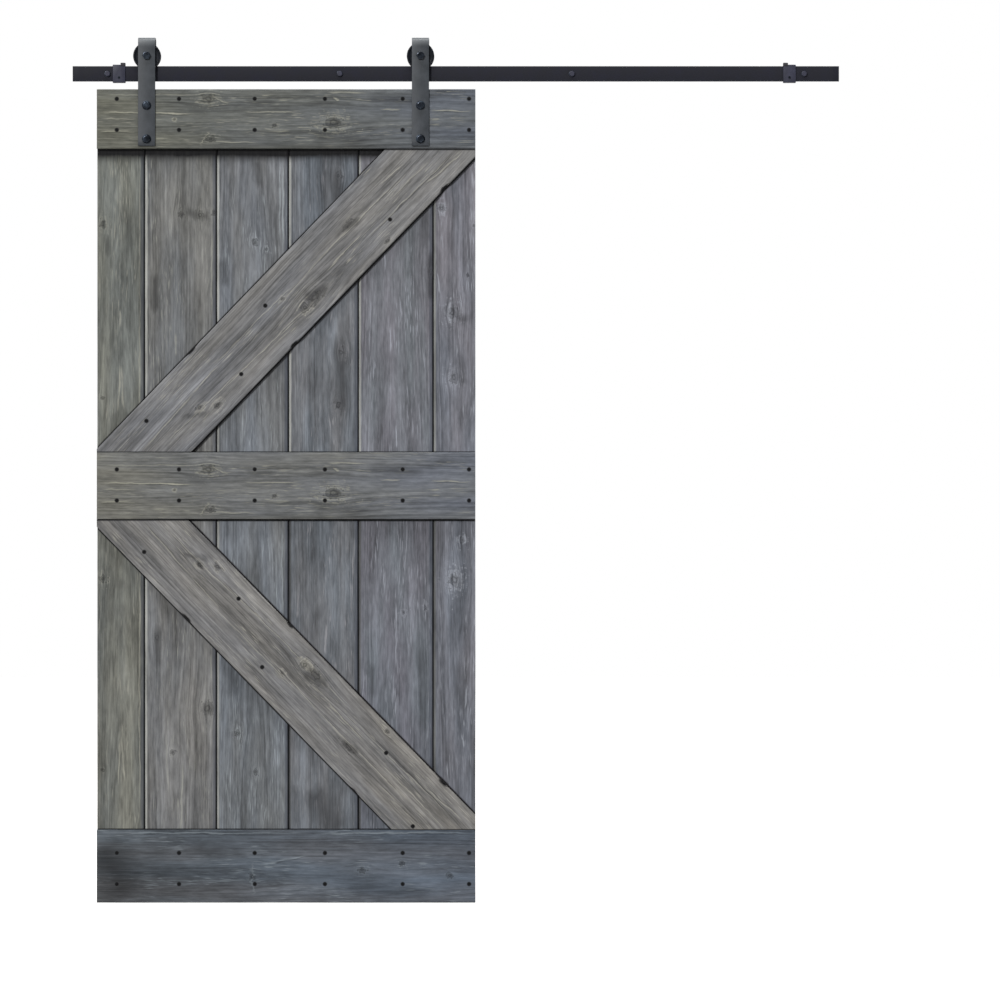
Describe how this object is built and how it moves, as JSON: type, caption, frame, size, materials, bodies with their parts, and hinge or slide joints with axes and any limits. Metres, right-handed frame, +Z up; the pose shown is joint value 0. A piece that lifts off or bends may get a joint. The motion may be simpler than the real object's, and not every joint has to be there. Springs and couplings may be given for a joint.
{
  "type": "sliding barn door",
  "caption": "Boarded sliding barn door with three rails and two slanting braces, hung by strap hangers and grooved wheels from a flat wall-mounted track with end stops.",
  "frame": {"origin": "middle of the track's length and height, on the face of the wall that it is screwed to", "axes": "+X along the track to the right seen from the room, +Y into the wall, +Z up"},
  "size_m": [2.012, 0.1219, 2.2693],
  "materials": {
    "planks": "grey-stained pine, knotty, matt",
    "rails": "grey-stained pine, knotty, matt",
    "braces": "grey-stained pine, straight grain, matt",
    "track": "black powder coat, matt",
    "stops": "dark grey powder coat, matt",
    "bumper_rubber": "black rubber, matt",
    "black_hardware": "black oxide and lacquer, satin",
    "strap": "slate grey powder coat, satin",
    "wheel": "turned steel, black-blue coat, satin",
    "bearing_shields": "pressed steel, zinc plated",
    "bearing_steel": "ground bearing steel",
    "bearing_cage": "pressed brass"
  },
  "bodies": {
    "track": {"track_bar": "track", "wall_spacers": "track", "wall_screws": "black_hardware", "wall_washers": "black_hardware", "stop_left": "stops", "stop_bumper_left": "bumper_rubber", "stop_set_screw_left": "black_hardware", "stop_right": "stops", "stop_bumper_right": "bumper_rubber", "stop_set_screw_right": "black_hardware"},
    "door": {"plank_1": "planks", "plank_2": "planks", "plank_3": "planks", "plank_4": "planks", "plank_5": "planks", "plank_6": "planks", "top_rail": "rails", "mid_rail": "rails", "bottom_rail": "rails", "brace_upper": "braces", "brace_lower": "braces", "top_rail_screws": "black_hardware", "mid_rail_screws": "black_hardware", "bottom_rail_screws": "black_hardware", "brace_upper_screws": "black_hardware", "brace_lower_screws": "black_hardware", "hanger_strap_left": "strap", "strap_bolts_left": "black_hardware", "strap_washers_left": "black_hardware", "strap_nuts_left": "black_hardware", "axle_bolt_left": "black_hardware", "axle_washer_left": "black_hardware", "axle_nut_left": "black_hardware", "axle_bushes_left": "bearing_steel", "bearing_inner_ring_left": "bearing_steel", "hanger_strap_right": "strap", "strap_bolts_right": "black_hardware", "strap_washers_right": "black_hardware", "strap_nuts_right": "black_hardware", "axle_bolt_right": "black_hardware", "axle_washer_right": "black_hardware", "axle_nut_right": "black_hardware", "axle_bushes_right": "bearing_steel", "bearing_inner_ring_right": "bearing_steel"},
    "wheel_left": {"wheel_left": "wheel", "bearing_outer_ring_left": "bearing_steel", "bearing_balls_left": "bearing_steel", "bearing_cage_left": "bearing_cage", "bearing_shields_left": "bearing_shields"},
    "wheel_right": {"wheel_right": "wheel", "bearing_outer_ring_right": "bearing_steel", "bearing_balls_right": "bearing_steel", "bearing_cage_right": "bearing_cage", "bearing_shields_right": "bearing_shields"}
  },
  "joints": [
    {"name": "door_slide", "type": "slide", "parent": "track", "child": "door", "axis": [1, 0, 0], "range_m": [-0.0251, 0.9203]},
    {"name": "wheel_left_spin", "type": "hinge", "parent": "door", "child": "wheel_left", "pos_m": [-0.8106, -0.038, 0.0463], "axis": [0, 1, 0], "continuous": true},
    {"name": "wheel_right_spin", "type": "hinge", "parent": "door", "child": "wheel_right", "pos_m": [-0.0926, -0.038, 0.0463], "axis": [0, 1, 0], "continuous": true}
  ],
  "couplings": [
    {"joint": "wheel_left_spin", "follows": "door_slide", "rad_per_m": 38.462},
    {"joint": "wheel_right_spin", "follows": "door_slide", "rad_per_m": 38.462}
  ]
}
